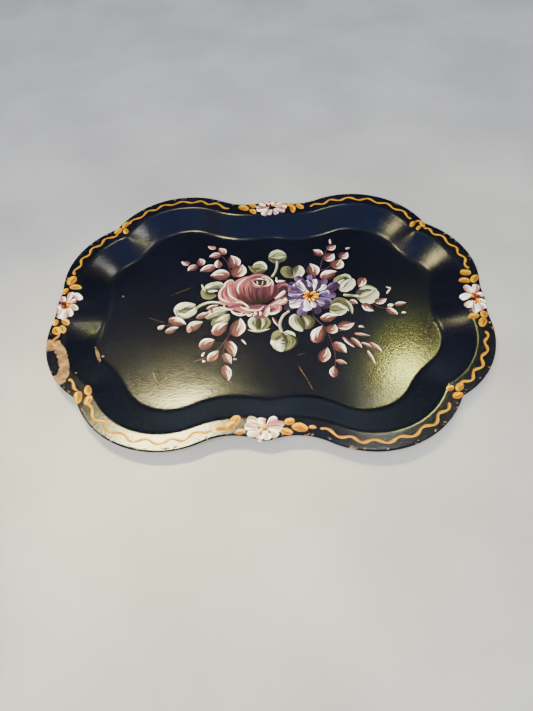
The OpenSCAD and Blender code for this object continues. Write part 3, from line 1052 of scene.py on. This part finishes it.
WHITE_PETALS = [
    (7, "lilac violet", (46, 12), (52, 9), (57, 9)),
    (5, "pearl violet", (45, 11), (49, 7), (53, 5)),
    (7, "pearl violet", (49, 19), (54, 21), (58, 18)),
    (7, "white violet", (47, 22), (53, 25), (56, 30)),
    (9, "white violet", (44, 23), (47, 30), (46, 38)),
    (8, "pearl violet", (41, 26), (40, 32), (38, 37)),
    (10, "white violet", (38, 24), (34, 31), (30, 37)),
    (8, "white lilac", (36, 23), (30, 27), (26, 33)),
    (8, "lilac violet", (34, 21), (27, 24), (21, 27)),
    (8, "pearl violet", (33, 19), (26, 20), (19, 20)),
    (6, "violet lilac", (32, 16), (27, 15), (22, 15)),
    (11, "white lilac", (35, 12), (29, 8), (20, 6)),
    (5, "leaf pearl violet", (31, 13), (26, 11), (19, 11)),
    (9, "pearl white", (37, 11), (36, 5), (38, -2)),
    (6, "white lilac", (34, 11), (33, 6), (34, 1)),
    (6, "lilac white", (41, 10), (43, 6), (44, 2)),
    (4, "leaf plum violet", (41, 21), (39, 25), (38, 29)),
    (5, "plum violet", (40, 22), (41, 25), (42, 28)),
]

ASTER_CENTRE = [
    (14, "oval rust rust", (32.5, 17), (41, 17), (49, 18)),
    (7, "oval orange rust", (36, 16), (41, 16), (46, 17)),
    (2.6, "yellow gilt", (40, 18), (42, 20), (46, 22)),
    (2.6, "yellow gilt", (43, 17), (46, 18), (49, 18)),
    (2.6, "yellow yellow", (42, 15), (45, 15), (48, 14)),
    (2.6, "yellow yellow", (41, 14), (43, 12), (44, 10.5)),
    (2.6, "yellow orange", (39, 14), (39, 12), (40, 10)),
    (2.4, "yellow yellow", (38, 15), (36, 13), (36, 11)),
    (2.4, "yellow orange", (37, 17), (35, 16), (33, 15)),
    (2.6, "yellow gilt", (38, 19), (35, 20), (34, 19)),
    (2.4, "blush gilt", (39, 20), (38, 22), (36, 23)),
    (1.6, "leaf rust rust", (38, 16), (41, 17), (44, 16)),
]

# ---- the rim

# Daisies, each about its own middle: petals, then dabs of the centre
DAISY_BACK = [
    (6, "blush pink", (1, 2), (-7, 1), (-14, 2)),
    (6, "blush pink", (0, 1), (-7, -2), (-14, -3)),
    (7, "pink blush", (0, -1), (-4, -6), (-7, -11)),
    (5, "blush pink", (2, -2), (0, -6), (0, -10.5)),
    (6, "blush pink", (3, -1), (6, -6), (8, -10)),
    (6, "cream pink", (5, -1), (11, -4), (16, -6.5)),
    (8, "cream pink", (6, 2), (12, 1), (18, -1)),
    (7, "cream pink", (5, 3), (10, 6), (14, 8)),
    (7, "blush pink", (3, 3), (4, 7), (4, 10.6)),
    (7, "cream pink", (1, 3), (-2, 7), (-5, 10)),
    (6, "cream pink", (0, 2), (-5, 5), (-11, 8.5)),
    (3, "rust salmon", (1, 0), (-2, 2), (-4, 5)),
    (2.6, "rust wine", (2, 0), (1, 3), (1, 6)),
    (2.4, "rust wine", (3, 0), (4, 2), (5, 3)),
    (2.6, "leaf rust rust", (-4, -1.6), (1, -2), (6, -1.6)),
    (2, "leaf orange orange", (-2, 0), (-1, 2), (-1, 4)),
    (4.4, "oval yellow yellow", (5, 2), (6.5, 3.6), (7.5, 5.5)),
]

DAISY_FRONT = [
    (7, "cream shell", (-3, 1), (-9, 6), (-15, 8)),
    (7, "cream pink", (-1, 2), (-3, 6), (-3, 9)),
    (7, "blush pink", (1, 2), (5, 6), (9, 8.5)),
    (6, "pink shell", (2, 1), (8, 3), (15, 3.5)),
    (5, "shell cream", (2, 0), (9, -1), (14, -2)),
    (7, "cream shell", (1, -1), (6, -5), (9, -8)),
    (7, "cream shell", (0, -2), (1, -7), (2, -10.4)),
    (7, "cream pink", (-1, -2), (-4, -7), (-7, -9.6)),
    (7, "shell cream", (-2, -1), (-8, -4), (-14, -7)),
    (7, "cream shell", (-3, 0), (-10, 1), (-17, 1)),
    (1.2, "leaf rose pink", (1, 2), (3, 5), (4, 7)),
    (1.2, "leaf pink rose", (3, 1), (8, 2), (13, 1)),
    (1.2, "leaf pink shell", (-4, 2), (-8, 4), (-13, 6)),
    (1.2, "leaf pink shell", (-4, -2), (-9, -2), (-14, -2)),
    (2, "leaf salmon gold", (-3, -3), (-4, -5), (-4, -7)),
    (2, "leaf salmon gold", (2, -2), (3, -4), (4, -5)),
    (3, "leaf gold bronze", (-7, 1), (-5, 0), (-4, -1)),
    (5, "oval yellow gold", (-3, 0), (-1, 1), (2, 1)),
]

DAISY_LEFT = [
    (6, "pink white", (-1, 2), (0, 9), (1, 15)),
    (7, "blush pink", (1, 11), (6, 11), (11, 6)),
    (6, "pink blush", (-2, 0), (-5, 4), (-7.5, 9)),
    (6, "blush pink", (-1, -2), (-5, -2), (-9, -3)),
    (6, "blush pink", (-2, -3), (-5, -7), (-7, -11)),
    (6, "blush pink", (-1, -4), (-3, -11), (-5, -17)),
    (6, "pink blush", (0, -4), (0, -12), (1, -19)),
    (6, "cream pink", (1, -3), (4, -9), (6, -15)),
    (6, "cream pink", (1, -1), (6, -3), (10, -7)),
    (6, "blush pink", (1, 1), (4, 3), (7, 5)),
    (10, "oval orange salmon", (-6, -1), (-2, -1), (3, -1)),
    (4, "rust salmon", (0, 0), (-4, 1), (-7, 2)),
    (4, "rust orange", (-2, 0), (-1, -3), (-3, -6)),
    (4, "yellow orange", (-1, 0), (2, -3), (3, -5)),
    (3, "yellow yellow", (-1, 1), (0, 3), (3, 3)),
    (2.6, "oval rust rust", (-3, -2), (-2, -1), (-1, -2)),
]

DAISY_RIGHT = [
    (7, "pink blush", (-1, 3), (-3, 10), (-6, 16)),
    (7, "blush pink", (0, 4), (3, 11), (5, 17)),
    (6, "blush pink", (1, 2), (5, 4), (8.6, 5)),
    (6, "blush pink", (1, 0), (5, -3), (8.4, -6)),
    (6, "cream pink", (0, -2), (4, -7), (7, -12)),
    (6, "pink white", (0, -2), (2, -9), (2, -15)),
    (6, "cream pink", (-1, -2), (-2, -10), (-3, -17)),
    (7, "cream pink", (-2, -1), (-6, -6), (-10, -9)),
    (8, "cream blush", (-2, 1), (-7, 3), (-12, 1)),
    (6, "oval orange rust", (-4, 1), (0, 0), (4, 0)),
    (4, "yellow orange", (0, 1), (-1, 4), (-2, 7)),
    (3.6, "orange rust", (0, 2), (3, 3), (5, 4)),
    (3.4, "yellow gilt", (1, 0), (3, -3), (4, -6)),
    (3, "orange yellow", (0, -2), (0, -4), (-1, -7)),
    (3.4, "rust rust", (0, 0), (-3, -1), (-6, -1)),
]

# Side, strokes and middle of each daisy
DAISIES = [
    ("back", DAISY_BACK, (0, 131)),
    ("front", DAISY_FRONT, (0, -131)),
    ("left", DAISY_LEFT, (-190, 0)),
    ("right", DAISY_RIGHT, (190, 0)),
]

# Gold leaves: x, y, length, width, angle
GOLD_LEAVES = [
    (-28, 131, 12, 8, -28), (-19, 135, 10, 6, -50), (-18, 125.5, 9, 6, -50),
    (18, 136.5, 9, 6, -50), (24, 137, 7, 4, -8), (24, 129, 13, 6, -80), (32, 132, 10, 7, -45),
    (19, -126, 8, 6.5, 10), (16.5, -135, 10, 6, -14), (27, -131.5, 13, 7.5, -12), (37, -131, 6, 3, -5),
    (-24, -124.5, 10, 8, 60), (-28, -130, 11, 7, 40), (-35, -132, 10, 5, 5), (-20, -135, 8, 5, 10),
    (-192, 30, 12, 9, 75), (-187, 21, 12, 6.5, -8), (-195.5, 16, 8, 5.5, 70),
    (-196, -22, 7, 6, 100), (-187, -22, 9, 6, -40), (-188, -30, 10, 5.5, -60), (-193, -32, 10, 8, -50),
    (188, 32, 10, 8, 0), (185, 22, 10, 6.5, -12), (195, 24, 11, 6.5, 55),
    (185, -21, 10, 6, 10), (195, -19, 7.5, 7, 70), (192, -28, 11, 7, 62),
    (-158, 99, 10, 7, 60), (-152, 108, 10, 6, 70), (-150, 99, 8, 6, 110),
    (148, 101, 9, 5, 60), (158, 101, 10, 5, 100), (153, 95, 7, 4, 50), (154, 105, 6, 3, 0),
    (-157, -102, 12, 7.5, 100), (-150, -95, 10, 6, 110), (-148, -105, 9, 6.5, 80),
    (151, -96, 7, 5, 30), (159, -95, 9, 6, 50), (156, -103, 9, 6, 20),
]


def paint_gold_leaves():
    work = Brushwork()
    for x, y, length, width, angle in GOLD_LEAVES:
        half = length / 2
        blade = turned(x, y, angle, (-half, 0), (0, 0.06 * length), (half, 0))
        work.stroke(blade, width, "gilt", "gold", "oval")
        vein = turned(x, y, angle, (-0.7 * half, 0), (0, -0.08 * width), (0.7 * half, -0.05 * width))
        work.stroke(vein, 0.22 * width, "bronze", "gold", "leaf", lift=0.04)
    work.finish("gold_leaf_strokes", "gold_paint", "gold_leaves")


# Angles from the long axis at which the scroll runs start and end in each quarter
SCROLL_RUNS = [(11, 31), (36, 73)]
# The end of a run that is left above the worn patch
SCROLL_STUB = [(-190, -35), (-190, -38), (-193.5, -43), (-193, -46), (-189, -49)]
# Swing to each side, length of a wave, width of the line, part by which the width swells on the
# turns, length of the taper at each end, and distance between rows of points
SCROLL_SWING = 1.9
SCROLL_WAVE = 19
SCROLL_WIDTH = 2.1
SCROLL_SWELL = 0.22
SCROLL_TAPER = 1.2
SCROLL_STEP = 0.6
# Thickness of the line
SCROLL_LIFT = 0.1


def side_steps(line):
    """Unit vectors that point to the left of a line."""
    run = np.gradient(line, axis=0)
    run /= np.linalg.norm(run, axis=1)[:, None]
    return np.stack([-run[:, 1], run[:, 0]], -1)


def paint_scroll_run(work, line):
    """One run of the scroll: the line swings to and fro and the brush swells on each turn."""
    reach = np.concatenate([[0], np.cumsum(np.linalg.norm(np.diff(line, axis=0), axis=1))])
    s = np.arange(0, reach[-1], SCROLL_STEP)
    centre = np.stack([np.interp(s, reach, line[:, k]) for k in (0, 1)], -1)
    waves = max(1, round(reach[-1] / SCROLL_WAVE))
    pace = s / reach[-1] * waves
    knots = np.arange(waves + 2)
    phase = 2 * math.pi * (pace + np.interp(pace, knots, rng.uniform(-0.1, 0.1, waves + 2)))
    swing = SCROLL_SWING * np.interp(pace, knots, rng.uniform(0.75, 1.2, waves + 2))
    centre = centre + side_steps(centre) * (swing * np.sin(phase))[:, None]
    end = np.clip(np.minimum(s, s[-1] - s) / SCROLL_TAPER, 0.1, 1) ** 0.5
    half = SCROLL_WIDTH / 2 * (1 + SCROLL_SWELL * np.sin(2 * phase + 0.6)) * end
    v = np.linspace(1, -1, 9)
    plan = centre[:, None] + side_steps(centre)[:, None] * half[:, None, None] * v[None, :, None]
    streak = bristles(len(s), len(v), knot_rows=3 * waves)
    shade = blend_colours("gilt", "gold", ease(0.5 - 0.5 * v[None] + 0.4 * streak))
    shade = shade * (1 + 0.16 * streak[..., None])
    work.film(plan, SCROLL_LIFT * crown(v)[None] * end[:, None], shade)


def paint_scroll():
    """Two runs in each quarter, broken where the worn patch has taken the paint."""
    work = Brushwork()
    middle = inset_line(0.5 * FLANGE_W)
    polar = np.degrees(np.arctan2(np.abs(middle[:, 1]), np.abs(middle[:, 0])))
    for sx in (1, -1):
        for sy in (1, -1):
            for start, end in SCROLL_RUNS:
                here = (polar > start) & (polar < end) & (middle[:, 0] * sx > 0) & (middle[:, 1] * sy > 0)
                line = middle[here][np.argsort(polar[here])]
                bare = inside_distance(line, WORN_PATCH) > 0
                for part in np.split(np.arange(len(line)), np.flatnonzero(np.diff(bare)) + 1):
                    if len(part) > 2 and not bare[part[0]]:
                        paint_scroll_run(work, line[part])
    work.stroke(SCROLL_STUB, SCROLL_WIDTH, "gilt", "gold", "line", lift=SCROLL_LIFT)
    work.finish("scroll_line_strokes", "gold_paint", "scroll_line")


# The order counts: each layer lies on the ones before it
paint_bud_stems()
paint_rows(LEAF_STROKES, "leaf", "cream_leaf_strokes", "cream_paint", "cream_leaves")
paint_rows(LEAF_STEMS, "line", "leaf_stem_strokes", "cream_paint", "leaf_stems")
paint_sprays()
paint_rows(ROSE_PETALS, "leaf", "rose_petal_strokes", "rose_paint", "rose_petals")
paint_rows(ROSE_BOWL, "leaf", "rose_bowl_strokes", "rose_paint", "rose_bowl")
paint_rows(VIOLET_PETALS, "petal", "aster_violet_strokes", "violet_paint", "aster_petals")
paint_rows(WHITE_PETALS, "petal", "aster_white_strokes", "white_paint", "aster_inner_petals")
paint_rows(ASTER_CENTRE, "petal", "aster_centre_strokes", "yellow_paint", "aster_centre")
for side, rows, middle in DAISIES:
    paint_rows(rows, "petal", f"rim_daisy_{side}_strokes", "white_paint", f"rim_daisy_{side}", middle)
paint_gold_leaves()
paint_scroll()

# ---- table and light


# Half the side of the table top, and how far it lies under the tray
TABLE_HALF = 2500
TABLE_GAP = 0.1


def add_floor():
    n = Nodes("pale_table")
    cloud = n.ramp(n.noise(120, detail=4), 0.3, 0.7)
    colour = n.mix(cloud, srgb("a19f9b"), srgb("b0aea9"))
    material = n.set(Base_Color=colour, Roughness=0.8)
    corners = [(sx * TABLE_HALF, sy * TABLE_HALF, 0) for sx, sy in ((-1, -1), (1, -1), (1, 1), (-1, 1))]
    floor = make_object("table", corners, [(0, 1, 2, 3)], material, smooth=False)
    floor.location.z = -TABLE_GAP * MM


def add_soft_light(name, location, target, size, watts, colour, spread=180):
    """A rectangular light at a place in metres that faces a target."""
    data = bpy.data.lights.new(name, "AREA")
    data.shape = "RECTANGLE"
    data.size, data.size_y = size
    data.energy = watts
    data.color = colour
    data.spread = math.radians(spread)
    light = bpy.data.objects.new(name, data)
    light.location = location
    light.rotation_euler = (Vector(location) - Vector(target)).to_track_quat("Z", "Y").to_euler()
    bpy.context.scene.collection.objects.link(light)
    return light


WINDOW_DISTANCE = 1.1


def add_window(name, glare, size, watts, colour, spread):
    """A light placed where the level lacquer mirrors it to the camera at the glare point."""
    spot = Vector((*glare, SHEET_T)) * MM
    ray = (spot - CAMERA_AT).normalized()
    away = Vector((ray.x, ray.y, -ray.z))
    add_soft_light(name, spot + away * WINDOW_DISTANCE, spot, size, watts, colour, spread)


# Windows, whose reflections are the pale patches on the lacquer: name, the point in the plan
# where the patch lies, size in metres, watts, colour and spread in degrees
WINDOWS = [
    ("window_left", (-82, -132), (0.30, 0.13), 0.83, (1.0, 0.87, 0.38), 26),
    ("window_right", (119, -71), (0.065, 0.085), 0.19, (1.0, 1.0, 0.24), 40),
]

# Lamps: name, place, target and size in metres, watts and colour
LAMPS = [
    ("lamp_right", (0.345, 0.575, 1.325), (-0.15, 0.08, 0), (0.05, 0.14), 1.2, (1.0, 0.96, 0.82)),
    ("lamp_above", (-0.18, 0.6, 1.41), (0, 0.1, 0), (0.05, 0.05), 0.45, (1.0, 0.95, 0.75)),
]

# Room light by the height of its direction, 0 at the horizon and 1 overhead, and its colour
SKY = [
    (0.0, (0.62, 0.84, 0.94)),
    (0.72, (0.05, 0.07, 0.13)),
    (0.87, (0.60, 0.60, 0.66)),
    (0.97, (0.38, 0.66, 1.6)),
]


def add_world():
    """Room light that changes with the height of the direction it comes from."""
    world = bpy.data.worlds.new("studio")
    world.use_nodes = True
    tree = world.node_tree
    place = tree.nodes.new("ShaderNodeTexCoord")
    split = tree.nodes.new("ShaderNodeSeparateXYZ")
    tree.links.new(place.outputs["Generated"], split.inputs[0])
    ramp = tree.nodes.new("ShaderNodeValToRGB")
    tree.links.new(split.outputs["Z"], ramp.inputs[0])
    stops = ramp.color_ramp.elements
    for place_at, _ in SKY[1:-1]:
        stops.new(place_at)
    for stop, (place_at, colour) in zip(stops, SKY):
        stop.position = place_at
        stop.color = (*colour, 1)
    tree.links.new(ramp.outputs[0], tree.nodes["Background"].inputs["Color"])
    bpy.context.scene.world = world


add_floor()
for window in WINDOWS:
    add_window(*window)
for lamp in LAMPS:
    add_soft_light(*lamp)
# The large soft light gives the paint its brightness but isn't mirrored in the lacquer
fill = add_soft_light("soft_front", (-0.2, -1.1, 1.5), (0, 0, 0), (1.5, 1.0), 85, (1.0, 0.98, 0.96))
fill.visible_glossy = False
add_world()
